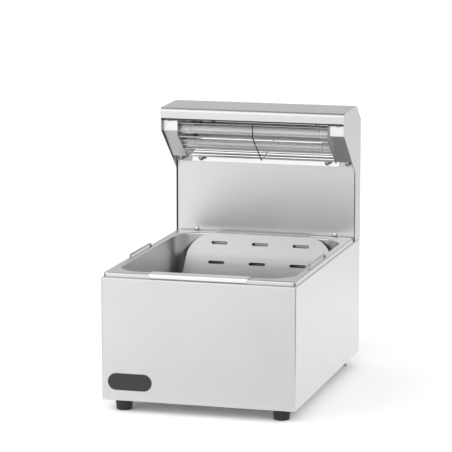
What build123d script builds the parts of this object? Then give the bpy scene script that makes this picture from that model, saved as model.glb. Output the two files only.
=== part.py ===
from build123d import *
import os
from math import hypot, radians, sqrt, tan

# Chip warmer: X to the right, Y to the back, Z up, millimetres.
# The origin is under the middle of the whole object, on the surface it stands on.

os.makedirs("parts", exist_ok=True)

# ---- driving dimensions ----

# body
body_width = 330.0
body_depth = 470.0  # front face to the back of the rear covers
body_height = 207.0  # without the feet
sheet = 1.2  # stainless sheet of the body, the column and the hood
bend_radius = 2.5  # outside radius of the body's folds
tight_fold = 1.8  # outside radius of the smaller folds
floor_return = 9.0  # inward fold along the bottom edges
rear_return = 12.0  # inward fold along the rear edges
fit_gap = 0.5  # gap round a panel that fits inside a fold
slip_gap = 0.05  # radial clearance of a shank, tube or pin in its hole

# feet
foot_height = 20.0  # visible below the body
foot_top_diameter = 30.0
foot_base_diameter = 26.0
foot_inset_side = 30.0
foot_inset_front = 28.0
foot_recess_diameter = 13.0
foot_recess_depth = 8.0
foot_screw_diameter = 5.0
foot_screw_head_diameter = 10.0
foot_screw_head_height = 3.5
foot_nut_width = 8.0
foot_nut_height = 4.0
foot_edge_radius = 1.5
foot_hole_clearance = 0.25
foot_screw_chamfer = 0.8
foot_screw_end = 1.0  # beyond the nut

# pan
pan_side_margin = 2.0  # body side to rim
pan_front_margin = 4.0  # body front to rim
pan_back_gap = 5.5  # rim to back-splash
pan_rim_side = 12.0
pan_rim_front = 20.0
pan_rim_rear = 19.0
pan_rise = 7.5  # top of the rim above the body
pan_sheet = 1.0
pan_depth = 150.0
pan_draft = 3.0  # degrees
pan_corner_radius = 50.0
pan_floor_radius = 18.0
pan_rim_corner_radius = 8.0
pan_rim_bend_radius = 3.0
pan_seat_width = 2.5  # ledge under the rim
pan_throat_radius = 3.0  # rim to wall

# pan handles
handle_wire = 4.0
handle_length = 117.0
left_handle_setback = 130.0  # front of the rim to the first leg
right_handle_setback = 113.0
handle_rise = 7.5  # top of the wire above the rim
handle_travel = 30.0
handle_leg_clearance = 0.4
handle_stop_diameter = 6.4
handle_stop_height = 3.0
handle_bend_radius = 6.0

# false bottom
insert_sheet = 1.0
insert_side_gap = 19.0  # plate to the side of the pan's opening
insert_corner_radius = 48.0  # from the sides to the ends of the tabs
insert_rear_angle = 56.6  # slope of the rear half, degrees
insert_front_angle = 66.0
insert_rear_radius = 220.0
insert_front_radius = 100.0
insert_bed_height = 18.0  # lowest point above the pan's floor
insert_tab_rear = 17.0  # length of the tab on the rear rim
insert_tab_lip = 6.0  # fold over the front of the rim
insert_lip_slant = 3.0  # the fold's ends run in by this much
insert_gap = 0.2  # between the tabs and the rim
insert_edge_gap = 0.8  # between the plate and the edge of the pan's opening
insert_edge_drop = 0.4  # plate's edge below the bend of the tabs
insert_fold_radius = 1.2
slot_length = 30.0
slot_width = 6.0
slot_pitch = 74.4
slots_per_row = 3
slot_row_pitch = 38.5
first_row_drop = 19.0  # from the rim down the slope to the first row

# column and hood
column_depth = 38.5
hood_height = 239.0  # body top to hood top
hood_overhang = 93.2  # column front to hood front
hood_side_drop = 39.6  # upright front edge of a hood side
column_straight = 120.0  # upright front edge of a column side
hood_lip_height = 18.4
hood_lip_radius = 7.0
hood_rise = 1.8  # rear edge of the roof above its front edge
hood_chamfer_length = 33.9
hood_chamfer_drop = 24.4
hood_bend_radius = 2.5
rear_cover_top_drop = 35.0  # hood top to the top of the rear cover
column_return = 10.0

# back-splash
splash_recess = 3.0
splash_side_gap = 1.8
splash_ledge = 21.0  # forward fold that carries the lamp unit
splash_side_return = 8.0
splash_screw_inset = 38.0  # side of the body to the screw
splash_screw_height = 10.5
splash_screw_diameter = 9.0
splash_screw_stand = 4.0
splash_screw_round = 3.2

# lamp unit
lamp_setback = 10.2  # hood front to the face of the wiring covers
lamp_top_drop = 15.0  # hood top to the top of the lamp unit
lamp_bottom_drop = 94.6
lamp_skirt = 13.0  # fold down along the back-splash
lamp_face_drop = 41.6  # hood top to the knee of the wiring covers
lamp_reach = 58.5  # depth of the slanted face
lamp_sheet = 0.8
end_plate_sheet = 1.2
end_plate_inset = 29.6  # side of the body to the middle of an end plate
end_plate_margin = 3.0  # end plate beyond the guard rods
reflector_bend_radius = 6.0
cover_bend_radius = 2.0
wiring_cover_drop = 22.4  # hood top to the top of the wiring covers
wiring_cover_return = 10.0
reflector_top_depth = 78.5
reflector_foot_set = 4.0  # reflector's foot behind the wiring covers' foot
reflector_nut_gap = 0.6  # between the upper nuts and the reflector
hanger_depth = 16.0
hanger_lip = 6.0
hanger_gap = 0.2  # behind the hood's lip
cover_side_gap = 0.8

# quartz lamps
tube_diameter = 15.0
tube_wall = 1.2
cap_diameter = 17.0
cap_reach_in = 22.0  # cap visible inside the end plate
cap_reach_out = 14.0
cap_socket = 5.0
cap_hole_gap = 0.5
cap_edge_radius = 1.0
coil_diameter = 6.0
coil_seat = 4.0
front_tube_set = (19.7, 40.0)  # behind the guard, below the hood top
rear_tube_set = (45.7, 67.6)

# guard
rod_diameter = 2.0
rod_pitch = 13.6
rod_count = 8
guard_setback = 8.0
guard_knee_drop = 47.4
guard_foot_drop = 94.2
guard_foot_reach = 60.0
cross_wire_diameter = 1.8
cross_wire_top_drop = 25.0
cross_wire_hook = 3.0
cross_wire_tail = 2.2  # beyond the foot of the guard
cross_wire_knee_radius = 4.0
cross_wire_hook_radius = 1.2

# cap nuts
cap_nut_width = 10.0
cap_nut_hex_height = 4.0
cap_nut_height = 9.6
cap_nut_dome_radius = 4.8
cap_nut_inner_inset = 49.5  # side of the body to the nut
cap_nut_outer_inset = 12.8
cap_nut_setback = 10.5  # lower nuts to the back-splash

# badge
badge_length = 75.0
badge_height = 28.0
badge_stand = 1.5
badge_inset_side = 11.0
badge_inset_bottom = 18.3
badge_edge = 0.5

# rear fittings
switch_width = 25.0
switch_height = 33.0
switch_bezel = 2.0
switch_corner_radius = 1.5
switch_edge_radius = 0.7
switch_body_width = 21.6
switch_body_height = 29.6
switch_body_depth = 20.0
rocker_width = 16.4
rocker_radius = 13.5
rocker_clearance = 0.4
rocker_pivot_depth = 5.0
rocker_sink = 0.3  # pressed half behind the bezel's face
rocker_back = 4.0  # behind the pivot
rocker_travel = 14.0  # degrees
rocker_pocket_depth = 14.0
rocker_pin_diameter = 3.0
rocker_pin_length = 1.6
rocker_pin_clearance = 0.05
inlet_width = 50.0
inlet_height = 24.0
inlet_flange = 2.5
inlet_body_width = 27.0
inlet_body_height = 20.0
inlet_body_depth = 22.0
inlet_recess_width = 24.2
inlet_recess_height = 16.4
inlet_recess_depth = 17.0
inlet_recess_chamfer = 4.0
inlet_pin_length = 11.5
inlet_pin_width = 4.0
inlet_pin_thickness = 2.0
inlet_pin_spread = 7.0
inlet_pin_offset = 2.0
inlet_screw_spread = 20.0
inlet_screw_head = 1.5
inlet_inset = 47.0  # side of the body to the middle of the inlet
switch_inset = 99.0
rear_fitting_height = 45.0  # above the body's bottom
rear_fitting_gap = 0.3
screw_head_diameter = 7.5
screw_head_height = 2.2
screw_shank_diameter = 4.0
screw_shank_length = 6.0
vent_length = 36.0
vent_width = 4.0
vent_pitch = 11.0
vent_count = 6
vent_columns = 4
vent_column_pitch = 54.0
floor_vent_inset = 157.0  # ends of the body to the vents in the floor
panel_vent_side = 82.0
panel_vent_columns = 2
cover_vent_inset = 66.0

# wiring inside
block_length = 48.0
block_depth = 20.0
block_height = 17.0
block_ways = 5
block_screw_diameter = 3.5
block_screw_spread = 10.0
block_groove = 2.4
block_groove_depth = 4.3
loom_diameter = 5.0
loom_bend = 12.0
loom_gap = 0.2
loom_spread = 18.0
loom_low_turn = 35.0  # above the deck
loom_high_turn = 120.0
lead_diameter = 3.0
deck_slot_margin = 5.0

# ---- places worked out from them ----

half_width = body_width / 2
rocker_slope = tan(radians(rocker_travel))
rocker_face = rocker_pivot_depth - rocker_sink
rocker_tip = (
    -rocker_slope * rocker_face
    + sqrt((1 + rocker_slope**2) * rocker_radius**2 - rocker_face**2)
) / (1 + rocker_slope**2)
rocker_reach = switch_bezel - rocker_sink + rocker_slope * rocker_tip
rear_reach = max(rocker_reach, inlet_flange + inlet_screw_head)
front_y = -(body_depth + rear_reach - badge_stand) / 2
back_y = front_y + body_depth
shell_back_y = back_y - sheet
base_z = foot_height
deck_z = base_z + body_height
floor_z = base_z + 2 * sheet  # top of the floor plate
top_z = deck_z + hood_height

column_y = back_y - column_depth
roof_back_y = back_y - hood_chamfer_length
hood_y = column_y - hood_overhang
splash_y = column_y + splash_recess
side_inner = half_width - sheet
inlet_side = half_width - inlet_inset
switch_side = half_width - switch_inset
splash_screw_spread = half_width - splash_screw_inset
rear_screw_grid = (body_width - rear_return - 2 * sheet, body_height - rear_return - 2 * sheet)

pan_half = half_width - pan_side_margin
pan_front_y = front_y + pan_front_margin
pan_back_y = splash_y - pan_back_gap
rim_z = deck_z + pan_rise
pan_mid_y = (pan_front_y + pan_back_y) / 2
pan_rim_length = pan_back_y - pan_front_y
open_half = pan_half - pan_rim_side
open_front_y = pan_front_y + pan_rim_front
open_back_y = pan_back_y - pan_rim_rear
open_mid_y = (open_front_y + open_back_y) / 2
open_length = open_back_y - open_front_y
pan_floor_z = rim_z - pan_depth + pan_sheet
insert_half_width = open_half - insert_side_gap
insert_tab_half_width = insert_half_width - insert_corner_radius

lamp_y = hood_y + lamp_setback
lamp_top_z = top_z - lamp_top_drop
lamp_bottom_z = top_z - lamp_bottom_drop
lamp_knee_z = top_z - lamp_face_drop
lamp_foot_y = lamp_y + lamp_reach
ledge_z = lamp_bottom_z + lamp_sheet  # underside of the back-splash's ledge
ledge_front_y = splash_y - splash_ledge
plate_outer = half_width - end_plate_inset + end_plate_sheet / 2
plate_inner = plate_outer - end_plate_sheet
hanger_y = hood_y + sheet + hanger_gap
hanger_back_y = hanger_y + hanger_depth
upper_nut_y = hanger_y + cap_nut_width / 2
lower_nut_y = splash_y - cap_nut_setback

guard_y = hood_y + guard_setback
guard_knee_z = top_z - guard_knee_drop
guard_foot_y = guard_y + guard_foot_reach
guard_foot_z = top_z - guard_foot_drop
guard_slant = hypot(guard_foot_reach, guard_knee_z - guard_foot_z)
guard_along = (-guard_foot_reach / guard_slant, (guard_knee_z - guard_foot_z) / guard_slant)
guard_out = (-guard_along[1], guard_along[0])

front_tube = (guard_y + front_tube_set[0], top_z - front_tube_set[1])
rear_tube = (guard_y + rear_tube_set[0], top_z - rear_tube_set[1])


def folded(points, radii, thickness, side):
    """Closed profile of a sheet folded along points, with its outside bend radii."""
    with BuildSketch() as profile:
        with BuildLine():
            FilletPolyline(*points, radius=radii)
            offset(amount=thickness, side=side)
        make_face()
    return profile.sketch


def rounded_plate(x_size, y_size, corner):
    """Rectangle with round corners, centred on the origin."""
    with BuildSketch() as plate:
        RectangleRounded(x_size, y_size, corner)
    return plate.sketch


# ---- body ----

with BuildPart() as base_shell:
    with BuildSketch(Plane.XY.offset(base_z)):
        with Locations((0, (front_y + shell_back_y) / 2)):
            Rectangle(body_width, shell_back_y - front_y)
    extrude(amount=body_height)
    upright = base_shell.edges().filter_by(Axis.Z).group_by(Axis.Y)[0]
    around = base_shell.faces().filter_by(Axis.Z).edges()
    back_edges = base_shell.faces().sort_by(Axis.Y)[-1].edges()
    folds = upright + around.filter_by(lambda e: not any(e.is_same(b) for b in back_edges))
    fillet(folds, radius=bend_radius)
    offset(amount=-sheet, openings=base_shell.faces().sort_by(Axis.Y)[-1])
    # inward folds round the rear opening
    with BuildSketch(Plane.XZ.offset(-shell_back_y)):
        with Locations((0, base_z + body_height / 2)):
            Rectangle(body_width - 2 * sheet, body_height - 2 * sheet)
            Rectangle(
                body_width - 2 * (sheet + rear_return),
                body_height - 2 * (sheet + rear_return),
                mode=Mode.SUBTRACT,
            )
            with GridLocations(*rear_screw_grid, 2, 2):
                Circle(screw_shank_diameter / 2 + slip_gap, mode=Mode.SUBTRACT)
    extrude(amount=sheet)
    # opening in the bottom, and the pan well in the top
    with BuildSketch(Plane.XY.offset(base_z)):
        with Locations((0, (front_y + shell_back_y) / 2)):
            Rectangle(body_width - 2 * floor_return, shell_back_y - front_y - 2 * floor_return)
    extrude(amount=sheet, mode=Mode.SUBTRACT)
    with BuildSketch(Plane.XY.offset(deck_z)):
        with Locations((0, pan_mid_y)):
            add(
                rounded_plate(
                    2 * (pan_half - pan_seat_width),
                    pan_rim_length - 2 * pan_seat_width,
                    pan_rim_corner_radius,
                )
            )
        with Locations((0, (splash_y + shell_back_y) / 2)):
            SlotCenterToCenter(2 * loom_spread, loom_diameter + 2 * deck_slot_margin)
    extrude(amount=-sheet, mode=Mode.SUBTRACT)
base_shell.part.label = "base_shell"
export_step(base_shell.part, "parts/base_shell.step")

foot_spots = [
    (name, x * (half_width - foot_inset_side), y)
    for name, x, y in (
        ("foot_front_left", -1, front_y + foot_inset_front),
        ("foot_front_right", 1, front_y + foot_inset_front),
        ("foot_rear_left", -1, shell_back_y - foot_inset_front),
        ("foot_rear_right", 1, shell_back_y - foot_inset_front),
    )
]
foot_points = [(x, y) for name, x, y in foot_spots]

with BuildPart() as base_floor:
    with BuildSketch(Plane.XY.offset(base_z + sheet)):
        with Locations((0, (front_y + shell_back_y) / 2)):
            Rectangle(
                body_width - 2 * (sheet + fit_gap + bend_radius),
                shell_back_y - front_y - 2 * (sheet + fit_gap) - bend_radius,
            )
        with Locations(*foot_points):
            Circle(foot_screw_diameter / 2 + foot_hole_clearance, mode=Mode.SUBTRACT)
        with Locations((0, front_y + floor_vent_inset), (0, back_y - floor_vent_inset)):
            with GridLocations(vent_column_pitch, vent_pitch, vent_columns, vent_count):
                SlotOverall(vent_length, vent_width, mode=Mode.SUBTRACT)
    extrude(amount=sheet)
base_floor.part.label = "base_floor"
export_step(base_floor.part, "parts/base_floor.step")

for name, x, y in foot_spots:
    with BuildPart() as foot:
        with BuildSketch(Plane.XZ.offset(-y)):
            with BuildLine():
                Polyline(
                    (x, 0),
                    (x + foot_base_diameter / 2, 0),
                    (x + foot_top_diameter / 2, base_z + sheet),
                    (x, base_z + sheet),
                    close=True,
                )
            make_face()
        revolve(axis=Axis((x, y, 0), (0, 0, 1)))
        fillet(foot.edges().group_by(Axis.Z)[0], radius=foot_edge_radius)
        with Locations((x, y, 0)):
            Cylinder(
                foot_recess_diameter / 2,
                foot_recess_depth,
                align=(Align.CENTER, Align.CENTER, Align.MIN),
                mode=Mode.SUBTRACT,
            )
            Cylinder(
                foot_screw_diameter / 2 + foot_hole_clearance,
                base_z + sheet,
                align=(Align.CENTER, Align.CENTER, Align.MIN),
                mode=Mode.SUBTRACT,
            )
    foot.part.label = name
    export_step(foot.part, f"parts/{name}.step")

screw_seat_z = foot_recess_depth
screw_tip_z = floor_z + foot_nut_height + foot_screw_end
with BuildPart() as foot_screws:
    with BuildSketch(Plane.XY.offset(screw_seat_z)):
        with Locations(*foot_points):
            Circle(foot_screw_head_diameter / 2)
    extrude(amount=-foot_screw_head_height)
    chamfer(foot_screws.edges().group_by(Axis.Z)[0], length=foot_screw_chamfer)
    with BuildSketch(Plane.XY.offset(screw_seat_z)):
        with Locations(*foot_points):
            Circle(foot_screw_diameter / 2)
    extrude(amount=screw_tip_z - screw_seat_z)
foot_screws.part.label = "foot_screws"
export_step(foot_screws.part, "parts/foot_screws.step")

with BuildPart() as foot_nuts:
    with BuildSketch(Plane.XY.offset(floor_z)):
        with Locations(*foot_points):
            RegularPolygon(foot_nut_width / 2, 6, major_radius=False)
            Circle(foot_screw_diameter / 2 + slip_gap, mode=Mode.SUBTRACT)
    extrude(amount=foot_nut_height)
foot_nuts.part.label = "foot_nuts"
export_step(foot_nuts.part, "parts/foot_nuts.step")

badge_x = -half_width + badge_inset_side + badge_length / 2
badge_z = base_z + badge_inset_bottom + badge_height / 2
with BuildPart() as badge_plate:
    with BuildSketch(Plane.XZ.offset(-front_y)):
        with Locations((badge_x, badge_z)):
            SlotOverall(badge_length, badge_height)
    extrude(amount=badge_stand)
    fillet(badge_plate.faces().sort_by(Axis.Y)[0].edges(), radius=badge_edge)
badge_plate.part.label = "badge_plate"
export_step(badge_plate.part, "parts/badge_plate.step")

# ---- rear panel with the switch and the inlet ----

fitting_z = base_z + rear_fitting_height
panel_margin = bend_radius
with BuildPart() as base_rear_panel:
    with BuildSketch(Plane.XZ.offset(-shell_back_y)):
        with Locations((0, base_z + body_height / 2)):
            Rectangle(body_width - 2 * panel_margin, body_height - 2 * panel_margin)
        with Locations((switch_side, fitting_z)):
            Rectangle(
                switch_body_width + 2 * rear_fitting_gap,
                switch_body_height + 2 * rear_fitting_gap,
                mode=Mode.SUBTRACT,
            )
        with Locations((inlet_side, fitting_z)):
            Rectangle(
                inlet_body_width + 2 * rear_fitting_gap,
                inlet_body_height + 2 * rear_fitting_gap,
                mode=Mode.SUBTRACT,
            )
            with Locations((-inlet_screw_spread, 0), (inlet_screw_spread, 0)):
                Circle(screw_shank_diameter / 2 + slip_gap, mode=Mode.SUBTRACT)
        with Locations((-panel_vent_side, fitting_z), (-panel_vent_side, deck_z - rear_fitting_height)):
            with GridLocations(vent_column_pitch, vent_pitch, panel_vent_columns, vent_count):
                SlotOverall(vent_length, vent_width, mode=Mode.SUBTRACT)
        with Locations((0, base_z + body_height / 2)):
            with GridLocations(*rear_screw_grid, 2, 2):
                Circle(screw_shank_diameter / 2 + slip_gap, mode=Mode.SUBTRACT)
    extrude(amount=-sheet)
base_rear_panel.part.label = "base_rear_panel"
export_step(base_rear_panel.part, "parts/base_rear_panel.step")

with BuildPart() as base_rear_screws:
    with BuildSketch(Plane.XZ.offset(-back_y)):
        with Locations((0, base_z + body_height / 2)):
            with GridLocations(*rear_screw_grid, 2, 2):
                Circle(screw_head_diameter / 2)
    extrude(amount=-screw_head_height)
    fillet(base_rear_screws.edges().group_by(Axis.Y)[-1], radius=screw_head_height / 2)
    with BuildSketch(Plane.XZ.offset(-back_y)):
        with Locations((0, base_z + body_height / 2)):
            with GridLocations(*rear_screw_grid, 2, 2):
                Circle(screw_shank_diameter / 2)
    extrude(amount=screw_shank_length)
base_rear_screws.part.label = "base_rear_screws"
export_step(base_rear_screws.part, "parts/base_rear_screws.step")

pivot_y = back_y + switch_bezel - rocker_pivot_depth
pivot = (pivot_y, fitting_z)
pocket_half = rocker_width / 2 + rocker_clearance
with BuildPart() as switch_housing:
    with BuildSketch(Plane.XZ.offset(-back_y)):
        with Locations((switch_side, fitting_z)):
            RectangleRounded(switch_width, switch_height, switch_corner_radius)
    extrude(amount=-switch_bezel)
    fillet(switch_housing.faces().sort_by(Axis.Y)[-1].edges(), radius=switch_edge_radius)
    with BuildSketch(Plane.XZ.offset(-back_y)):
        with Locations((switch_side, fitting_z)):
            Rectangle(switch_body_width, switch_body_height)
    extrude(amount=switch_body_depth)
    with BuildSketch(Plane.XZ.offset(-back_y - switch_bezel)):
        with Locations((switch_side, fitting_z)):
            Rectangle(2 * pocket_half, 2 * (rocker_radius + rocker_clearance))
    extrude(amount=rocker_pocket_depth, mode=Mode.SUBTRACT)
    with BuildSketch(Plane.YZ.offset(switch_side)):
        with Locations(pivot):
            Circle(rocker_pin_diameter / 2 + rocker_pin_clearance)
    extrude(
        amount=rocker_width / 2 + rocker_pin_length + rocker_clearance / 2,
        both=True,
        mode=Mode.SUBTRACT,
    )
switch_housing.part.label = "switch_housing"
export_step(switch_housing.part, "parts/switch_housing.step")

with BuildPart() as switch_rocker:
    with BuildSketch(Plane.YZ.offset(switch_side)):
        with Locations(pivot):
            Circle(rocker_radius)
        with BuildLine():
            Polyline(
                (pivot_y - rocker_back, fitting_z - rocker_radius),
                (pivot_y + rocker_face, fitting_z - rocker_radius),
                (pivot_y + rocker_face, fitting_z),
                (pivot_y + rocker_face + rocker_slope * rocker_radius, fitting_z + rocker_radius),
                (pivot_y - rocker_back, fitting_z + rocker_radius),
                close=True,
            )
        make_face(mode=Mode.INTERSECT)
    extrude(amount=rocker_width / 2, both=True)
    with BuildSketch(Plane.YZ.offset(switch_side)):
        with Locations(pivot):
            Circle(rocker_pin_diameter / 2)
    extrude(amount=rocker_width / 2 + rocker_pin_length, both=True)
switch_rocker.part.label = "switch_rocker"
export_step(switch_rocker.part, "parts/switch_rocker.step")

inlet_face_y = back_y + inlet_flange
with BuildPart() as power_inlet:
    with BuildSketch(Plane.XZ.offset(-back_y)):
        with Locations((inlet_side, fitting_z)):
            RectangleRounded(inlet_width, inlet_height, inlet_height / 4)
            with Locations((-inlet_screw_spread, 0), (inlet_screw_spread, 0)):
                Circle(screw_shank_diameter / 2 + slip_gap, mode=Mode.SUBTRACT)
    extrude(amount=-inlet_flange)
    with BuildSketch(Plane.XZ.offset(-back_y)):
        with Locations((inlet_side, fitting_z)):
            Rectangle(inlet_body_width, inlet_body_height)
    extrude(amount=inlet_body_depth)
    with BuildSketch(Plane.XZ.offset(-inlet_face_y)) as mouth:
        with Locations((inlet_side, fitting_z)):
            Rectangle(inlet_recess_width, inlet_recess_height)
        chamfer(mouth.vertices().group_by(Axis.Y)[-1], length=inlet_recess_chamfer)
    extrude(amount=inlet_recess_depth, mode=Mode.SUBTRACT)
power_inlet.part.label = "power_inlet"
export_step(power_inlet.part, "parts/power_inlet.step")

with BuildPart() as inlet_pins:
    with BuildSketch(Plane.XZ.offset(inlet_recess_depth - inlet_face_y)):
        with Locations(
            (inlet_side - inlet_pin_spread, fitting_z - inlet_pin_offset),
            (inlet_side, fitting_z + inlet_pin_offset),
            (inlet_side + inlet_pin_spread, fitting_z - inlet_pin_offset),
        ):
            Rectangle(inlet_pin_thickness, inlet_pin_width)
    extrude(amount=-inlet_pin_length)
inlet_pins.part.label = "inlet_pins"
export_step(inlet_pins.part, "parts/inlet_pins.step")

with BuildPart() as inlet_screws:
    with BuildSketch(Plane.XZ.offset(-inlet_face_y)):
        with Locations(
            (inlet_side - inlet_screw_spread, fitting_z), (inlet_side + inlet_screw_spread, fitting_z)
        ):
            Circle(screw_head_diameter / 2)
    extrude(amount=-inlet_screw_head)
    fillet(inlet_screws.edges().group_by(Axis.Y)[-1], radius=inlet_screw_head / 2)
    with BuildSketch(Plane.XZ.offset(-inlet_face_y)):
        with Locations(
            (inlet_side - inlet_screw_spread, fitting_z), (inlet_side + inlet_screw_spread, fitting_z)
        ):
            Circle(screw_shank_diameter / 2)
    extrude(amount=screw_shank_length)
inlet_screws.part.label = "inlet_screws"
export_step(inlet_screws.part, "parts/inlet_screws.step")

# ---- column and hood ----

cover_top_z = top_z - rear_cover_top_drop
column_screw_x = side_inner - column_return / 2
column_screw_margin = 15.0
column_screw_spots = [
    (side * column_screw_x, z)
    for side in (-1, 1)
    for z in (
        deck_z + column_screw_margin,
        (deck_z + cover_top_z) / 2,
        cover_top_z - column_screw_margin,
    )
]

for name, side in (("column_side_left", -1), ("column_side_right", 1)):
    with BuildPart() as column_side:
        with BuildSketch(Plane.YZ.offset(side * half_width)):
            with BuildLine():
                hood_line = FilletPolyline(
                    (hood_y, top_z - hood_side_drop),
                    (hood_y, top_z),
                    (roof_back_y, top_z + hood_rise),
                    (back_y, top_z - hood_chamfer_drop),
                    (back_y, deck_z),
                    radius=[hood_lip_radius, hood_bend_radius, hood_bend_radius],
                )
                Polyline(
                    hood_line @ 1,
                    (column_y, deck_z),
                    (column_y, deck_z + column_straight),
                    hood_line @ 0,
                )
            make_face()
        extrude(amount=-side * sheet)
        # foot fold on the body, and rear fold behind the rear cover
        foot_fold_y = splash_y + sheet + splash_side_return + fit_gap
        with BuildSketch(Plane.XY.offset(deck_z)):
            with Locations(
                (side * (side_inner - column_return / 2), (foot_fold_y + shell_back_y) / 2)
            ):
                Rectangle(column_return, shell_back_y - foot_fold_y)
        extrude(amount=sheet)
        with BuildSketch(Plane.XZ.offset(-shell_back_y)):
            with Locations((side * column_screw_x, (deck_z + cover_top_z) / 2)):
                Rectangle(column_return, cover_top_z - deck_z)
            with Locations(*[spot for spot in column_screw_spots if spot[0] * side > 0]):
                Circle(screw_shank_diameter / 2 + slip_gap, mode=Mode.SUBTRACT)
        extrude(amount=sheet)
    column_side.part.label = name
    export_step(column_side.part, f"parts/{name}.step")

with BuildPart() as hood_top_cover:
    with BuildSketch(Plane.YZ):
        add(
            folded(
                [
                    (hood_y, top_z - hood_lip_height),
                    (hood_y, top_z),
                    (roof_back_y, top_z + hood_rise),
                    (back_y, top_z - hood_chamfer_drop),
                    (back_y, cover_top_z),
                ],
                [hood_lip_radius, hood_bend_radius, hood_bend_radius],
                sheet,
                Side.RIGHT,
            )
        )
    extrude(amount=side_inner, both=True)
hood_top_cover.part.label = "hood_top_cover"
export_step(hood_top_cover.part, "parts/hood_top_cover.step")

with BuildPart() as rear_cover:
    with BuildSketch(Plane.XZ.offset(-shell_back_y)):
        with Locations((0, (deck_z + cover_top_z) / 2)):
            Rectangle(2 * side_inner, cover_top_z - deck_z)
        with Locations(*column_screw_spots):
            Circle(screw_shank_diameter / 2 + slip_gap, mode=Mode.SUBTRACT)
        with Locations((0, cover_top_z - cover_vent_inset), (0, deck_z + cover_vent_inset)):
            with GridLocations(vent_column_pitch, vent_pitch, vent_columns, vent_count):
                SlotOverall(vent_length, vent_width, mode=Mode.SUBTRACT)
    extrude(amount=-sheet)
rear_cover.part.label = "rear_cover"
export_step(rear_cover.part, "parts/rear_cover.step")

with BuildPart() as rear_cover_screws:
    with BuildSketch(Plane.XZ.offset(-back_y)):
        with Locations(*column_screw_spots):
            Circle(screw_head_diameter / 2)
    extrude(amount=-screw_head_height)
    fillet(rear_cover_screws.edges().group_by(Axis.Y)[-1], radius=screw_head_height / 2)
    with BuildSketch(Plane.XZ.offset(-back_y)):
        with Locations(*column_screw_spots):
            Circle(screw_shank_diameter / 2)
    extrude(amount=screw_shank_length)
rear_cover_screws.part.label = "rear_cover_screws"
export_step(rear_cover_screws.part, "parts/rear_cover_screws.step")

splash_half = side_inner - splash_side_gap
with BuildPart() as back_splash:
    with BuildSketch(Plane.YZ):
        add(
            folded(
                [(splash_y, deck_z), (splash_y, ledge_z), (ledge_front_y, ledge_z)],
                [tight_fold],
                sheet,
                Side.RIGHT,
            )
        )
    extrude(amount=splash_half, both=True)
    for side in (-1, 1):
        with BuildSketch(Plane.YZ.offset(side * splash_half)):
            with Locations((splash_y + (sheet + splash_side_return) / 2, (deck_z + ledge_z) / 2)):
                Rectangle(sheet + splash_side_return, ledge_z - deck_z - 2 * bend_radius)
        extrude(amount=-side * sheet)
    with BuildSketch(Plane.XZ.offset(-splash_y)):
        with Locations(
            (-splash_screw_spread, deck_z + splash_screw_height),
            (splash_screw_spread, deck_z + splash_screw_height),
        ):
            Circle(screw_shank_diameter / 2 + slip_gap)
    extrude(amount=-sheet, mode=Mode.SUBTRACT)
back_splash.part.label = "back_splash"
export_step(back_splash.part, "parts/back_splash.step")

with BuildPart() as splash_screws:
    splash_screw_spots = [
        (side * splash_screw_spread, deck_z + splash_screw_height) for side in (-1, 1)
    ]
    with BuildSketch(Plane.XZ.offset(-splash_y)):
        with Locations(*splash_screw_spots):
            Circle(splash_screw_diameter / 2)
    extrude(amount=splash_screw_stand)
    fillet(splash_screws.edges().group_by(Axis.Y)[0], radius=splash_screw_round)
    with BuildSketch(Plane.XZ.offset(-splash_y)):
        with Locations(*splash_screw_spots):
            Circle(screw_shank_diameter / 2)
    extrude(amount=-screw_shank_length)
splash_screws.part.label = "splash_screws"
export_step(splash_screws.part, "parts/splash_screws.step")

# ---- lamp unit ----

hanger_half = side_inner - cover_side_gap
hanger_top_z = top_z - sheet + hood_rise * (hanger_back_y - sheet - hood_y) / (roof_back_y - hood_y)
with BuildPart() as lamp_hanger:
    with BuildSketch(Plane.YZ):
        add(
            folded(
                [
                    (hanger_y, lamp_top_z + hanger_lip),
                    (hanger_y, lamp_top_z),
                    (hanger_back_y, lamp_top_z),
                    (hanger_back_y, hanger_top_z),
                ],
                [tight_fold, tight_fold],
                sheet,
                Side.LEFT,
            )
        )
    extrude(amount=hanger_half, both=True)
lamp_hanger.part.label = "lamp_hanger"
export_step(lamp_hanger.part, "parts/lamp_hanger.step")

with BuildPart() as lamp_reflector:
    with BuildSketch(Plane.YZ):
        add(
            folded(
                [
                    (upper_nut_y + cap_nut_width / 2 + reflector_nut_gap, lamp_top_z),
                    (lamp_y + reflector_top_depth, lamp_top_z),
                    (lamp_foot_y + reflector_foot_set, ledge_z),
                    (splash_y, ledge_z),
                    (splash_y, ledge_z - lamp_skirt),
                ],
                [reflector_bend_radius, cover_bend_radius, cover_bend_radius],
                lamp_sheet,
                Side.RIGHT,
            )
        )
    extrude(amount=plate_inner, both=True)
lamp_reflector.part.label = "lamp_reflector"
export_step(lamp_reflector.part, "parts/lamp_reflector.step")

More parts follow.
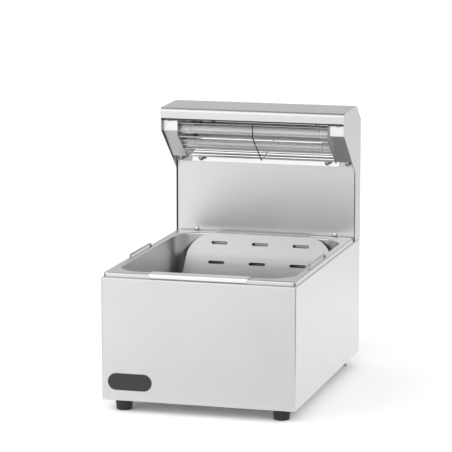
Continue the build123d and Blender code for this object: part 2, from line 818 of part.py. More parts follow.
for side_name, side in (("left", -1), ("right", 1)):
    with BuildPart() as lamp_end_plate:
        with BuildSketch(Plane.YZ.offset(side * plate_inner)):
            with BuildLine():
                Polyline(
                    (guard_y, lamp_top_z - end_plate_margin),
                    (guard_y, guard_knee_z),
                    (guard_foot_y, guard_foot_z),
                    (lamp_foot_y + reflector_foot_set, ledge_z + sheet + end_plate_margin),
                    (lamp_y + reflector_top_depth - end_plate_margin, lamp_top_z - end_plate_margin),
                    close=True,
                )
            make_face()
            offset(amount=end_plate_margin)
            with Locations(front_tube, rear_tube):
                Circle(cap_diameter / 2 + cap_hole_gap, mode=Mode.SUBTRACT)
        extrude(amount=side * end_plate_sheet)
    lamp_end_plate.part.label = f"lamp_end_plate_{side_name}"
    export_step(lamp_end_plate.part, f"parts/lamp_end_plate_{side_name}.step")

    with BuildPart() as wiring_cover:
        with BuildSketch(Plane.YZ.offset(side * plate_outer)):
            add(
                folded(
                    [
                        (lamp_y + wiring_cover_return, top_z - wiring_cover_drop),
                        (lamp_y, top_z - wiring_cover_drop),
                        (lamp_y, lamp_knee_z),
                        (lamp_foot_y, lamp_bottom_z),
                        (splash_y - lamp_sheet, lamp_bottom_z),
                        (splash_y - lamp_sheet, ledge_z - lamp_skirt),
                    ],
                    [cover_bend_radius, cover_bend_radius, cover_bend_radius, cover_bend_radius],
                    lamp_sheet,
                    Side.LEFT,
                )
            )
        extrude(amount=side * (hanger_half - plate_outer))
    wiring_cover.part.label = f"wiring_cover_{side_name}"
    export_step(wiring_cover.part, f"parts/wiring_cover_{side_name}.step")

tube_half = plate_inner - cap_reach_in + cap_socket
coil_half = tube_half + coil_seat
cap_length = cap_reach_in + end_plate_sheet + cap_reach_out
for place, centre in (("front", front_tube), ("rear", rear_tube)):
    with BuildPart() as quartz_tube:
        with BuildSketch(Plane.YZ):
            with Locations(centre):
                Circle(tube_diameter / 2)
                Circle(tube_diameter / 2 - tube_wall, mode=Mode.SUBTRACT)
        extrude(amount=tube_half, both=True)
    quartz_tube.part.label = f"quartz_tube_{place}"
    export_step(quartz_tube.part, f"parts/quartz_tube_{place}.step")

    with BuildPart() as heating_coil:
        with BuildSketch(Plane.YZ):
            with Locations(centre):
                Circle(coil_diameter / 2)
        extrude(amount=coil_half, both=True)
    heating_coil.part.label = f"heating_coil_{place}"
    export_step(heating_coil.part, f"parts/heating_coil_{place}.step")

    with BuildPart() as tube_caps:
        for side in (-1, 1):
            with BuildSketch(Plane.YZ.offset(side * (plate_outer + cap_reach_out))):
                with Locations(centre):
                    Circle(cap_diameter / 2)
            extrude(amount=-side * cap_length)
        fillet(tube_caps.edges().filter_by(GeomType.CIRCLE), radius=cap_edge_radius)
        with BuildSketch(Plane.YZ):
            with Locations(centre):
                Circle(tube_diameter / 2 + slip_gap)
        extrude(amount=tube_half, both=True, mode=Mode.SUBTRACT)
        with BuildSketch(Plane.YZ):
            with Locations(centre):
                Circle(coil_diameter / 2 + slip_gap)
        extrude(amount=coil_half, both=True, mode=Mode.SUBTRACT)
    tube_caps.part.label = f"tube_caps_{place}"
    export_step(tube_caps.part, f"parts/tube_caps_{place}.step")

# rods along the guard's profile, from its foot upwards
rod_spots = []
for number in range(rod_count):
    run = rod_diameter / 2 + number * rod_pitch
    if run < guard_slant:
        spot = (guard_foot_y + guard_along[0] * run, guard_foot_z + guard_along[1] * run)
    else:
        spot = (guard_y, guard_knee_z + run - guard_slant)
    rod_spots.append(spot)

with BuildPart() as guard_rods:
    with BuildSketch(Plane.YZ):
        with Locations(*rod_spots):
            Circle(rod_diameter / 2)
    extrude(amount=plate_inner, both=True)
guard_rods.part.label = "guard_rods"
export_step(guard_rods.part, "parts/guard_rods.step")

wire_set = (rod_diameter + cross_wire_diameter) / 2 + slip_gap
knee_run = -wire_set * (1 + guard_out[0]) / guard_along[0]
wire_foot = (
    guard_foot_y + guard_out[0] * wire_set - guard_along[0] * cross_wire_tail,
    guard_foot_z + guard_out[1] * wire_set - guard_along[1] * cross_wire_tail,
)
with BuildPart() as guard_cross_wire:
    with BuildLine(Plane.YZ) as wire_path:
        FilletPolyline(
            (guard_y - wire_set, top_z - cross_wire_top_drop),
            (
                guard_y - wire_set,
                guard_knee_z + guard_out[1] * wire_set + guard_along[1] * knee_run,
            ),
            wire_foot,
            (
                wire_foot[0] - guard_out[0] * cross_wire_hook,
                wire_foot[1] - guard_out[1] * cross_wire_hook,
            ),
            radius=[cross_wire_knee_radius, cross_wire_hook_radius],
        )
    with BuildSketch(Plane(origin=wire_path.line @ 0, z_dir=wire_path.line % 0)):
        Circle(cross_wire_diameter / 2)
    sweep()
guard_cross_wire.part.label = "guard_cross_wire"
export_step(guard_cross_wire.part, "parts/guard_cross_wire.step")

nut_columns = [
    side * (half_width - inset)
    for side in (-1, 1)
    for inset in (cap_nut_outer_inset, cap_nut_inner_inset)
]
for name, nut_y, seat_z in (
    ("cap_nuts_upper", upper_nut_y, lamp_top_z),
    ("cap_nuts_lower", lower_nut_y, lamp_bottom_z),
):
    with BuildPart() as cap_nuts:
        with BuildSketch(Plane.XY.offset(seat_z)):
            with Locations(*[(x, nut_y) for x in nut_columns]):
                RegularPolygon(cap_nut_width / 2, 6, major_radius=False)
        extrude(amount=-cap_nut_hex_height)
        with BuildSketch(Plane.XY.offset(seat_z - cap_nut_hex_height)):
            with Locations(*[(x, nut_y) for x in nut_columns]):
                Circle(cap_nut_dome_radius)
        extrude(amount=cap_nut_hex_height + cap_nut_dome_radius - cap_nut_height)
        with Locations(*[(x, nut_y, seat_z - cap_nut_height + cap_nut_dome_radius) for x in nut_columns]):
            Sphere(cap_nut_dome_radius)
    cap_nuts.part.label = name
    export_step(cap_nuts.part, f"parts/{name}.step")

# ---- wiring inside the body and the column ----

loom_y = (splash_y + shell_back_y) / 2
with BuildPart() as terminal_block:
    with BuildSketch(Plane.XY.offset(floor_z)):
        with Locations((0, loom_y)):
            Rectangle(block_length, block_depth)
    extrude(amount=block_height)
    with BuildSketch(Plane.XY.offset(floor_z + block_height)):
        with Locations((0, loom_y)):
            with GridLocations(block_length / block_ways, block_depth, block_ways - 1, 1):
                Rectangle(block_groove, block_depth)
            with GridLocations(block_length / block_ways, block_screw_spread, block_ways, 2):
                Circle(block_screw_diameter / 2)
    extrude(amount=-block_groove_depth, mode=Mode.SUBTRACT)
terminal_block.part.label = "terminal_block"
export_step(terminal_block.part, "parts/terminal_block.step")

loom_x = plate_outer + cap_reach_out / 2
with BuildPart() as wiring_loom:
    for side in (-1, 1):
        with BuildLine() as loom_path:
            FilletPolyline(
                (side * loom_spread, loom_y, floor_z + block_height + loom_gap),
                (side * loom_spread, loom_y, deck_z + loom_low_turn),
                (side * loom_x, loom_y, deck_z + loom_high_turn),
                (side * loom_x, loom_y, rear_tube[1]),
                (side * loom_x, rear_tube[0] + cap_diameter / 2 + loom_gap, rear_tube[1]),
                radius=loom_bend,
            )
        with BuildSketch(Plane(origin=loom_path.line @ 0, z_dir=loom_path.line % 0)):
            Circle(loom_diameter / 2)
        sweep(path=loom_path.line)
wiring_loom.part.label = "wiring_loom"
export_step(wiring_loom.part, "parts/wiring_loom.step")

lamp_step = Vector(0, rear_tube[0] - front_tube[0], rear_tube[1] - front_tube[1])
with BuildPart() as lamp_leads:
    for side in (-1, 1):
        lead_plane = Plane(origin=(side * loom_x, *front_tube), z_dir=lamp_step)
        with BuildSketch(lead_plane.offset(cap_diameter / 2 + loom_gap)):
            Circle(lead_diameter / 2)
        extrude(amount=lamp_step.length - cap_diameter - 2 * loom_gap)
lamp_leads.part.label = "lamp_leads"
export_step(lamp_leads.part, "parts/lamp_leads.step")

# ---- pan ----


def tub(wall):
    """Tapered box with round corners that hangs from the rim, grown by wall on every side."""
    with BuildPart() as form:
        with BuildSketch(Plane.XY.offset(rim_z)):
            with Locations((0, open_mid_y)):
                RectangleRounded(
                    2 * (open_half + wall), open_length + 2 * wall, pan_corner_radius + wall
                )
        extrude(amount=-(pan_depth - pan_sheet + wall), taper=pan_draft)
        fillet(form.faces().sort_by(Axis.Z)[0].edges(), radius=pan_floor_radius + wall)
    return form.part


handle_x = (open_half + pan_half) / 2
left_handle_y = pan_front_y + left_handle_setback
right_handle_y = pan_front_y + right_handle_setback
handle_spots = [
    (x, front_leg_y + run)
    for x, front_leg_y in ((-handle_x, left_handle_y), (handle_x, right_handle_y))
    for run in (0, handle_length)
]

with BuildPart() as pan:
    with BuildSketch(Plane.XY.offset(rim_z)):
        with Locations((0, pan_mid_y)):
            RectangleRounded(2 * pan_half, pan_rim_length, pan_rim_corner_radius)
    extrude(amount=-pan_rise)
    fillet(pan.faces().sort_by(Axis.Z)[-1].edges(), radius=pan_rim_bend_radius)
    offset(amount=-pan_sheet, openings=pan.faces().sort_by(Axis.Z)[0])
    add(tub(pan_sheet))
    rim_underside = pan.faces().filter_by(Axis.Z).filter_by_position(
        Axis.Z, rim_z - 1.5 * pan_sheet, rim_z - 0.5 * pan_sheet
    )
    fillet(rim_underside[0].inner_wires()[0].edges(), radius=pan_throat_radius - pan_sheet)
    add(tub(0), mode=Mode.SUBTRACT)
    fillet(pan.faces().sort_by(Axis.Z)[-1].inner_wires()[0].edges(), radius=pan_throat_radius)
    with BuildSketch(Plane.XY.offset(rim_z)):
        with Locations(*handle_spots):
            Circle(handle_wire / 2 + handle_leg_clearance)
    extrude(amount=-pan_sheet, mode=Mode.SUBTRACT)
pan.part.label = "pan"
export_step(pan.part, "parts/pan.step")

stop_top_z = rim_z - pan_sheet - handle_travel
for name, handle_side_x, front_leg_y in (
    ("pan_handle_left", -handle_x, left_handle_y),
    ("pan_handle_right", handle_x, right_handle_y),
):
    back_leg_y = front_leg_y + handle_length
    with BuildPart() as pan_handle:
        with BuildLine(Plane.YZ.offset(handle_side_x)) as bail:
            FilletPolyline(
                (front_leg_y, stop_top_z),
                (front_leg_y, rim_z + handle_rise - handle_wire / 2),
                (back_leg_y, rim_z + handle_rise - handle_wire / 2),
                (back_leg_y, stop_top_z),
                radius=handle_bend_radius,
            )
        with BuildSketch(Plane(origin=bail.line @ 0, z_dir=bail.line % 0)):
            Circle(handle_wire / 2)
        sweep()
        with BuildSketch(Plane.XY.offset(stop_top_z)):
            with Locations((handle_side_x, front_leg_y), (handle_side_x, back_leg_y)):
                Circle(handle_stop_diameter / 2)
        extrude(amount=-handle_stop_height)
    pan_handle.part.label = name
    export_step(pan_handle.part, f"parts/{name}.step")

# ---- curved perforated false bottom ----

tab_z = rim_z + insert_gap
bed_z = pan_floor_z + insert_bed_height
front_bend_y = open_front_y + insert_edge_gap
rear_bend_y = open_back_y - insert_edge_gap
bed_front_y = front_bend_y + (tab_z - bed_z) / tan(radians(insert_front_angle))
bed_rear_y = rear_bend_y - (tab_z - bed_z) / tan(radians(insert_rear_angle))
front_edge = (
    front_bend_y + insert_edge_drop / tan(radians(insert_front_angle)),
    tab_z - insert_edge_drop,
)
rear_edge = (
    rear_bend_y - insert_edge_drop / tan(radians(insert_rear_angle)),
    tab_z - insert_edge_drop,
)
bed_radii = [insert_front_radius, insert_rear_radius]
with BuildLine(Plane.YZ) as bed:
    FilletPolyline(
        (rear_bend_y, tab_z),
        (bed_rear_y, bed_z),
        (bed_front_y, bed_z),
        (front_bend_y, tab_z),
        radius=bed_radii[::-1],
    )
bed_wire = bed.wires()[0]
bed_length = bed_wire.length

with BuildPart() as perforated_insert:
    with BuildSketch(Plane.YZ):
        add(
            folded(
                [front_edge, (bed_front_y, bed_z), (bed_rear_y, bed_z), rear_edge],
                bed_radii,
                insert_sheet,
                Side.LEFT,
            )
        )
    extrude(amount=insert_half_width, both=True)
    fillet(perforated_insert.edges().sort_by(SortBy.LENGTH)[:4], radius=insert_corner_radius)
    with BuildSketch(Plane.YZ):
        add(
            folded(
                [
                    (pan_front_y - insert_gap, tab_z - insert_tab_lip),
                    (pan_front_y - insert_gap, tab_z),
                    (front_bend_y, tab_z),
                    (bed_front_y, bed_z),
                    (bed_rear_y, bed_z),
                    (rear_bend_y, tab_z),
                    (rear_bend_y + insert_tab_rear, tab_z),
                ],
                [insert_fold_radius, insert_fold_radius, *bed_radii, insert_fold_radius],
                insert_sheet,
                Side.LEFT,
            )
        )
    extrude(amount=insert_tab_half_width, both=True)
    # slanted ends of the fold over the front of the rim
    with BuildSketch(Plane.XZ.offset(-pan_front_y)):
        with BuildLine():
            Polyline(
                (insert_tab_half_width - insert_lip_slant, tab_z - insert_tab_lip),
                (insert_tab_half_width, tab_z - insert_tab_lip),
                (insert_tab_half_width, tab_z - insert_fold_radius),
                close=True,
            )
        make_face()
        mirror(about=Plane.YZ)
    extrude(amount=2 * insert_sheet, mode=Mode.SUBTRACT)
    # rows of slots from the rear edge down the slope and along the bed
    row_count = 1 + int((bed_length - 2 * first_row_drop) / slot_row_pitch)
    for row in range(row_count):
        along = (first_row_drop + row * slot_row_pitch) / bed_length
        down_the_bed = bed_wire.tangent_at(along)
        row_plane = Plane(
            origin=bed_wire.position_at(along),
            x_dir=(1, 0, 0),
            z_dir=Vector(1, 0, 0).cross(down_the_bed),
        )
        with BuildSketch(row_plane):
            with GridLocations(slot_pitch, slot_width, slots_per_row, 1):
                SlotOverall(slot_length, slot_width)
        extrude(amount=2 * insert_sheet, both=True, mode=Mode.SUBTRACT)
perforated_insert.part.label = "perforated_insert"
export_step(perforated_insert.part, "parts/perforated_insert.step")
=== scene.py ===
import math
import bpy
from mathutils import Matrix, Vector


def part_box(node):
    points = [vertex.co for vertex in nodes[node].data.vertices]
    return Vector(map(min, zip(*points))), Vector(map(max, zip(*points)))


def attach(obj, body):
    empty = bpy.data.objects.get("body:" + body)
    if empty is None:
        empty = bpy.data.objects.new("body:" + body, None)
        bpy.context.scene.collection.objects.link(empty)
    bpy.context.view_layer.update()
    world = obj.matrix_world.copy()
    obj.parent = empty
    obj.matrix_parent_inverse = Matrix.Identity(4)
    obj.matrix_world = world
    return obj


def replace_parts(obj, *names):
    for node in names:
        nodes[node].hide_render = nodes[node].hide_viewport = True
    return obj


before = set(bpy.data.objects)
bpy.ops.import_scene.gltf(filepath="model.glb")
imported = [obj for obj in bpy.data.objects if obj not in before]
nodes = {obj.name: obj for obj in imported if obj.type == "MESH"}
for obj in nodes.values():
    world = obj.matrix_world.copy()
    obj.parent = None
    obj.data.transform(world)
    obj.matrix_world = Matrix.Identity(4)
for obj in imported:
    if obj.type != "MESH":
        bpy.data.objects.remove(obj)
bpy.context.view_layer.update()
print("frame loaded,", len(nodes), "nodes")

scene = bpy.context.scene
scene.view_settings.view_transform = "Standard"

# place in metres, turns in degrees, lens and sensor in millimetres
shot = {
    "place": (1.149, -4.1895, 1.031),
    "yaw": 15.56,
    "pitch": 9.81,
    "lens": 205.49,
    "sensor": 36.0,
    "farEnd": 40,
}


def makeCamera():
    data = bpy.data.cameras.new("shot")
    data.lens = shot["lens"]
    data.sensor_width = shot["sensor"]
    data.clip_end = shot["farEnd"]
    camera = bpy.data.objects.new("shot", data)
    camera.location = shot["place"]
    camera.rotation_euler = (math.radians(90 - shot["pitch"]), 0, math.radians(shot["yaw"]))
    scene.collection.objects.link(camera)
    scene.camera = camera


makeCamera()
print("camera placed")


class Wire:
    # an output socket that can stand in plain arithmetic
    def __init__(self, shader, socket):
        self.shader = shader
        self.socket = socket

    def __add__(self, other):
        return self.shader.sum("ADD", self, other)

    def __radd__(self, other):
        return self.shader.sum("ADD", other, self)

    def __sub__(self, other):
        return self.shader.sum("SUBTRACT", self, other)

    def __rsub__(self, other):
        return self.shader.sum("SUBTRACT", other, self)

    def __mul__(self, other):
        return self.shader.sum("MULTIPLY", self, other)

    def __rmul__(self, other):
        return self.shader.sum("MULTIPLY", other, self)


def rgb(shade):
    return (*shade, 1) if isinstance(shade, tuple) else (shade, shade, shade, 1)


class Shader:
    # the node tree of one material, or of the world
    def __init__(self, owner):
        owner.use_nodes = True
        self.tree = owner.node_tree
        self.tree.nodes.clear()

    def node(self, kind, settings={}, sockets={}, out=0):
        made = self.tree.nodes.new(kind)
        for key, value in settings.items():
            if key == "stops":
                for element, (place, shade) in zip(made.color_ramp.elements, value):
                    element.position = place
                    element.color = rgb(shade)
            else:
                setattr(made, key, value)
        for key, value in sockets.items():
            if isinstance(value, Wire):
                self.tree.links.new(value.socket, made.inputs[key])
            else:
                made.inputs[key].default_value = value
        return Wire(self, made.outputs[out]) if made.outputs else made

    def sum(self, operation, first, second):
        return self.node("ShaderNodeMath", {"operation": operation}, {0: first, 1: second})

    def mix(self, factor, first, second):
        # inputs 6 and 7 are the colours, and output 2 is the mixed one
        return self.node(
            "ShaderNodeMix", {"data_type": "RGBA"}, {0: factor, 6: first, 7: second}, out=2
        )

    def objectPlace(self):
        return self.node("ShaderNodeTexCoord", out="Object")

    def axis(self, vector, name):
        return self.node("ShaderNodeSeparateXYZ", {}, {"Vector": vector}, out=name)

    def ray(self, kind):
        return self.node("ShaderNodeLightPath", out=f"Is {kind} Ray")

    def fade(self, value, none, full):
        # 0 at one level, 1 at the other, soft between
        return self.node(
            "ShaderNodeMapRange",
            {"interpolation_type": "SMOOTHSTEP"},
            {"Value": value, "From Min": none, "From Max": full},
        )

    def noise(self, where, size, detail, stretch=(1, 1, 1)):
        # size is the width of a patch in metres, before stretching
        scaled = self.node(
            "ShaderNodeMapping", {}, {"Vector": where, "Scale": [s / size for s in stretch]}
        )
        return self.node(
            "ShaderNodeTexNoise", {}, {"Vector": scaled, "Scale": 1.0, "Detail": detail}
        )

    def bump(self, height, strength, depth):
        return self.node(
            "ShaderNodeBump", {}, {"Strength": strength, "Distance": depth, "Height": height}
        )

    def principled(self, sockets):
        surface = self.node("ShaderNodeBsdfPrincipled", {}, sockets)
        self.node("ShaderNodeOutputMaterial", {}, {"Surface": surface})


def newMaterial(name):
    material = bpy.data.materials.new(name)
    return material, Shader(material)


def dress(material, names):
    for name in names:
        slots = nodes[name].data.materials
        slots.clear()
        slots.append(material)


# each row of parts names a material, its nodes and what it changes in the common finish
def dressAll(makeSurface, common, parts):
    for name, (names, changes) in parts.items():
        dress(makeSurface(name, {**common, **changes}), names)


# painted shade: the colour darkens where sheets meet and gaps are narrow
seamShadeFinish = {"reach": 0.003, "samples": 6, "closed": 0.30, "open": 0.80, "shade": 0.10}


def paintedSeamShade(shader, unshaded):
    openness = shader.node(
        "ShaderNodeAmbientOcclusion",
        {"samples": seamShadeFinish["samples"]},
        {"Distance": seamShadeFinish["reach"]},
        out=1,
    )
    share = shader.fade(openness, seamShadeFinish["closed"], seamShadeFinish["open"])
    return shader.mix(share, rgb(seamShadeFinish["shade"]), unshaded)


def fadeAlong(shader, where, place):
    return shader.fade(shader.axis(where, place["axis"]), place["none"], place["full"])


# rolled stainless sheet: long fine grain, faint clouds, hair scratches and wipe marks, with
# painted shade in the seams and painted light and shade in zones
def brushedSteel(name, finish):
    material, shader = newMaterial(name)
    where = shader.objectPlace()
    along = finish["grainAlong"]
    grain = shader.noise(where, finish["grainWidth"], finish["grainDetail"], along)
    streak = shader.noise(where, finish["streakWidth"], finish["streakDetail"], along)
    cloud = shader.noise(where, finish["cloudSize"], finish["cloudDetail"])
    wipe = shader.noise(where, finish["wipeSize"], finish["wipeDetail"], finish["wipeStretch"])
    hairs = shader.noise(where, finish["hairWidth"], finish["hairDetail"], along)
    scratch = shader.node("ShaderNodeValToRGB", {"stops": finish["hairStops"]}, {"Fac": hairs})
    tone = (
        0.5
        + (streak - 0.5) * finish["streakTone"]
        + (cloud - 0.5) * finish["cloudTone"]
        + (grain - 0.5) * finish["grainTone"]
        - scratch * finish["hairTone"]
    )
    unshaded = shader.mix(tone, rgb(finish["dark"]), rgb(finish["light"]))
    colour = paintedSeamShade(shader, unshaded)
    # painted light and shade, laid on zone by zone
    for paintedZone in finish["paintedZones"]:
        colour = shader.mix(fadeAlong(shader, where, paintedZone), colour, rgb(paintedZone["shade"]))
    rough = (
        finish["roughness"]
        + (grain - 0.5) * finish["grainRough"]
        + (cloud - 0.5) * finish["cloudRough"]
        + (wipe - 0.5) * finish["wipeRough"]
    )
    bump = shader.bump(grain, finish["grainBump"], finish["grainDepth"])
    shader.principled(
        {"Base Color": colour, "Metallic": 1.0, "Roughness": rough, "Normal": bump}
    )
    return material


# a noise pattern stretched by one of these runs in long lines along its axis
alongX = (0.02, 1, 1)
alongY = (1, 0.02, 1)
alongZ = (1, 1, 0.02)

sheetFinish = {
    "dark": 0.62,
    "light": 0.80,
    "roughness": 0.32,
    "grainAlong": alongX,
    "grainWidth": 0.0006,
    "grainDetail": 3.0,
    "grainTone": 0.26,
    "grainRough": 0.10,
    "grainBump": 0.10,
    "grainDepth": 0.0002,
    "streakWidth": 0.002,
    "streakDetail": 2.0,
    "streakTone": 0.11,
    "cloudSize": 0.11,
    "cloudDetail": 3.0,
    "cloudTone": 0.35,
    "cloudRough": 0.07,
    "wipeSize": 0.035,
    "wipeDetail": 2.0,
    "wipeStretch": (1, 1, 0.4),
    "wipeRough": 0.05,
    "hairWidth": 0.0009,
    "hairDetail": 1.0,
    "hairStops": [(0.72, 0), (0.80, 1)],
    "hairTone": 0.35,
    "paintedZones": [],
}
coverFinish = {"grainAlong": alongY, "dark": 0.80, "light": 0.92, "roughness": 0.34}
# painted shade on the covers' sloping faces beside the lamps, deeper on the left cover than on
# the right
coverSlopeShade = {"axis": "Z", "none": 0.4255, "full": 0.4235}
# painted highlight on the false bottom's front tab, and painted shade on its rear tab
frontTabHighlight = {"axis": "Y", "none": -0.2115, "full": -0.2145, "shade": 0.93}
rearTabShade = {"axis": "Y", "none": 0.1715, "full": 0.1735, "shade": 0.44}
sheetParts = {
    "bodySteel": (["base_shell", "base_rear_panel"], {}),
    "bottomSteel": (["base_floor"], {"dark": 0.18, "light": 0.30, "roughness": 0.48}),
    "hoodSteel": (["hood_top_cover", "rear_cover", "lamp_hanger"], {}),
    "splashSteel": (["back_splash"], {"roughness": 0.34}),
    # a darker copy of the sheet steel: painted shade on the column's sides
    "sideShadedSteel": (
        ["column_side_left", "column_side_right"],
        {"grainAlong": alongY, "dark": 0.52, "light": 0.70},
    ),
    # a darker copy of the sheet steel: painted shade on the lamp end plates
    "endPlateShadedSteel": (
        ["lamp_end_plate_left", "lamp_end_plate_right"],
        {"grainAlong": alongZ, "dark": 0.24, "light": 0.36, "roughness": 0.22},
    ),
    "leftCoverShadedSteel": (
        ["wiring_cover_left"],
        {**coverFinish, "paintedZones": [{**coverSlopeShade, "shade": 0.46}]},
    ),
    "rightCoverShadedSteel": (
        ["wiring_cover_right"],
        {**coverFinish, "paintedZones": [{**coverSlopeShade, "shade": 0.66}]},
    ),
    "panSteel": (
        ["pan"],
        {"grainAlong": (0.6, 0.6, 0.2), "dark": 0.64, "light": 0.78, "roughness": 0.32},
    ),
    "insertSteel": (
        ["perforated_insert"],
        {"dark": 0.56, "light": 0.70, "roughness": 0.34, "paintedZones": [frontTabHighlight, rearTabShade]},
    ),
}
dressAll(brushedSteel, sheetFinish, sheetParts)
print("sheet steel dressed")


# a surface without grain: wire, nuts and screws, rubber, plastic, ceramic and paint
def plainSurface(name, finish):
    material, shader = newMaterial(name)
    where = shader.objectPlace()
    stretch = finish["broadStretch"]
    fine = shader.noise(where, finish["fineSize"], finish["fineDetail"])
    broad = shader.noise(where, finish["broadSize"], finish["broadDetail"], stretch)
    tone = fine * finish["fineShare"] + broad * (1 - finish["fineShare"])
    colour = shader.mix(tone, rgb(finish["dark"]), rgb(finish["light"]))
    rough = finish["roughness"] + (broad - 0.5) * finish["roughSpread"]
    height = fine if finish["fineBump"] else broad
    shader.principled(
        {
            "Base Color": colour,
            "Metallic": finish["metallic"],
            "Roughness": rough,
            "Normal": shader.bump(height, finish["bump"], finish["bumpDepth"]),
        }
    )
    return material


metalFinish = {
    "metallic": 1.0,
    "dark": 0.55,
    "light": 0.75,
    "roughness": 0.14,
    "roughSpread": 0.08,
    "fineSize": 0.0008,
    "fineDetail": 3.0,
    "fineShare": 0.4,
    "broadSize": 0.006,
    "broadDetail": 2.0,
    "broadStretch": (1, 1, 1),
    "bump": 0.1,
    "bumpDepth": 0.0001,
    "fineBump": False,
}
metalParts = {
    "rodMetal": (["guard_rods"], {"dark": 0.42, "light": 0.60, "roughness": 0.10}),
    "domeMetal": (["splash_screws"], {"dark": 0.60, "light": 0.80, "roughness": 0.12}),
    "handleMetal": (
        ["pan_handle_left", "pan_handle_right"],
        {"dark": 0.36, "light": 0.52, "roughness": 0.08},
    ),
    "nutMetal": (
        ["cap_nuts_upper", "cap_nuts_lower"],
        {"dark": 0.30, "light": 0.48, "roughness": 0.12},
    ),
    "darkWire": (["guard_cross_wire"], {"dark": 0.03, "light": 0.08, "roughness": 0.45}),
    "pinBrass": (["inlet_pins"], {"dark": (0.6, 0.45, 0.22), "light": (0.75, 0.6, 0.33)}),
    "polishedReflector": (
        ["lamp_reflector"],
        {
            "dark": 0.84,
            "light": 0.94,
            "roughness": 0.05,
            "roughSpread": 0.04,
            "broadSize": 0.02,
            "broadStretch": (0.25, 1, 1),
            "bump": 0.12,
            "bumpDepth": 0.0004,
        },
    ),
}
dressAll(plainSurface, metalFinish, metalParts)
screwFinish = {**metalFinish, "dark": 0.35, "light": 0.5, "roughness": 0.3}
screwMetal = plainSurface("screwMetal", screwFinish)
dress(screwMetal, ["foot_screws", "foot_nuts"])
print("bright metal dressed")

plainFinish = {
    "metallic": 0.0,
    "dark": 0.02,
    "light": 0.04,
    "roughness": 0.55,
    "roughSpread": 0.1,
    "fineSize": 0.0006,
    "fineDetail": 4.0,
    "fineShare": 0.5,
    "broadSize": 0.01,
    "broadDetail": 2.0,
    "broadStretch": (1, 1, 1),
    "bump": 0.2,
    "bumpDepth": 0.0002,
    "fineBump": True,
}
plainParts = {
    "footRubber": (
        ["foot_front_left", "foot_front_right", "foot_rear_left", "foot_rear_right"],
        {"dark": 0.010, "light": 0.022},
    ),
    "badgeCoat": (
        ["badge_plate"],
        {"dark": 0.026, "light": 0.038, "roughness": 0.38, "bump": 0.08},
    ),
    "fittingPlastic": (["switch_housing", "power_inlet"], {"roughness": 0.45}),
    "rockerPlastic": (["switch_rocker"], {"roughness": 0.25, "bump": 0.05}),
    "capCeramic": (
        ["tube_caps_front", "tube_caps_rear", "terminal_block"],
        {"dark": (0.9, 0.895, 0.88), "light": (0.96, 0.955, 0.94), "roughness": 0.3},
    ),
    "siliconeSleeve": (["wiring_loom", "lamp_leads"], {"dark": 0.45, "light": 0.6}),
}
dressAll(plainSurface, plainFinish, plainParts)
print("plastic, rubber and ceramic dressed")

# milky fused quartz
glassFinish = {
    "tint": 0.95,
    "clear": 0.12,
    "roughness": 0.08,
    "haze": 0.08,
    "hazeSize": 0.01,
    "hazeDetail": 3.0,
    "index": 1.46,
}


def quartzGlass():
    material, shader = newMaterial("quartzGlass")
    where = shader.objectPlace()
    haze = shader.noise(where, glassFinish["hazeSize"], glassFinish["hazeDetail"], alongX)
    shader.principled(
        {
            "Base Color": rgb(glassFinish["tint"]),
            "Roughness": glassFinish["roughness"] + haze * glassFinish["haze"],
            "IOR": glassFinish["index"],
            "Transmission Weight": glassFinish["clear"],
        }
    )
    return material


dress(quartzGlass(), ["quartz_tube_front", "quartz_tube_rear"])
print("quartz tubes dressed")


def addPiece(name, data, material, body):
    piece = bpy.data.objects.new(name, data)
    scene.collection.objects.link(piece)
    data.materials.append(material)
    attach(piece, body)
    return piece


def addMesh(name, points, faces, material, body, smooth=False):
    mesh = bpy.data.meshes.new(name)
    mesh.from_pydata(points, [], faces)
    if smooth:
        mesh.shade_smooth()
    return addPiece(name, mesh, material, body)


# a shape turned round the y axis: each row of the profile is a radius and a y
def turned(profile, steps):
    points = []
    for radius, along in profile:
        for step in range(steps):
            turn = 2 * math.pi * step / steps
            points.append((radius * math.cos(turn), along, radius * math.sin(turn)))
    faces = []
    for ring in range(len(profile) - 1):
        for step in range(steps):
            after = (step + 1) % steps
            low, high = ring * steps, (ring + 1) * steps
            faces.append((low + step, high + step, high + after, low + after))
    return points, faces


# the faces of a shape whose points are added after the first ones
def shifted(faces, first):
    return [tuple(first + index for index in face) for face in faces]


# coiled heating wire in place of the plain rods that stand for it
coil = {
    "wire": 0.0009,
    "wireRounding": 1,
    "pitch": 0.0026,
    "leadLength": 0.008,
    "pointsPerTurn": 12,
    "finish": {**metalFinish, "dark": (0.42, 0.4, 0.38), "light": 0.6, "roughness": 0.4},
}
coilMetal = plainSurface("coilMetal", coil["finish"])


def makeCoil(node, name):
    low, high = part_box(node)
    radius = (high[1] - low[1]) / 2 - coil["wire"] / 2
    middleY, middleZ = (low[1] + high[1]) / 2, (low[2] + high[2]) / 2
    start, end = low[0] + coil["leadLength"], high[0] - coil["leadLength"]
    count = round((end - start) / coil["pitch"]) * coil["pointsPerTurn"]
    points = [(low[0], middleY, middleZ)]
    for step in range(count + 1):
        turn = 2 * math.pi * step / coil["pointsPerTurn"]
        x = start + (end - start) * step / count
        points.append((x, middleY + radius * math.cos(turn), middleZ + radius * math.sin(turn)))
    points.append((high[0], middleY, middleZ))
    curve = bpy.data.curves.new(name, "CURVE")
    curve.dimensions = "3D"
    curve.bevel_depth = coil["wire"] / 2
    curve.bevel_resolution = coil["wireRounding"]
    spline = curve.splines.new("POLY")
    spline.points.add(len(points) - 1)
    for point, place in zip(spline.points, points):
        point.co = (*place, 1)
    spline.use_smooth = True
    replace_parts(addPiece(name, curve, coilMetal, "root"), node)


makeCoil("heating_coil_front", "frontHeatingCoil")
makeCoil("heating_coil_rear", "rearHeatingCoil")
print("heating coils wound")

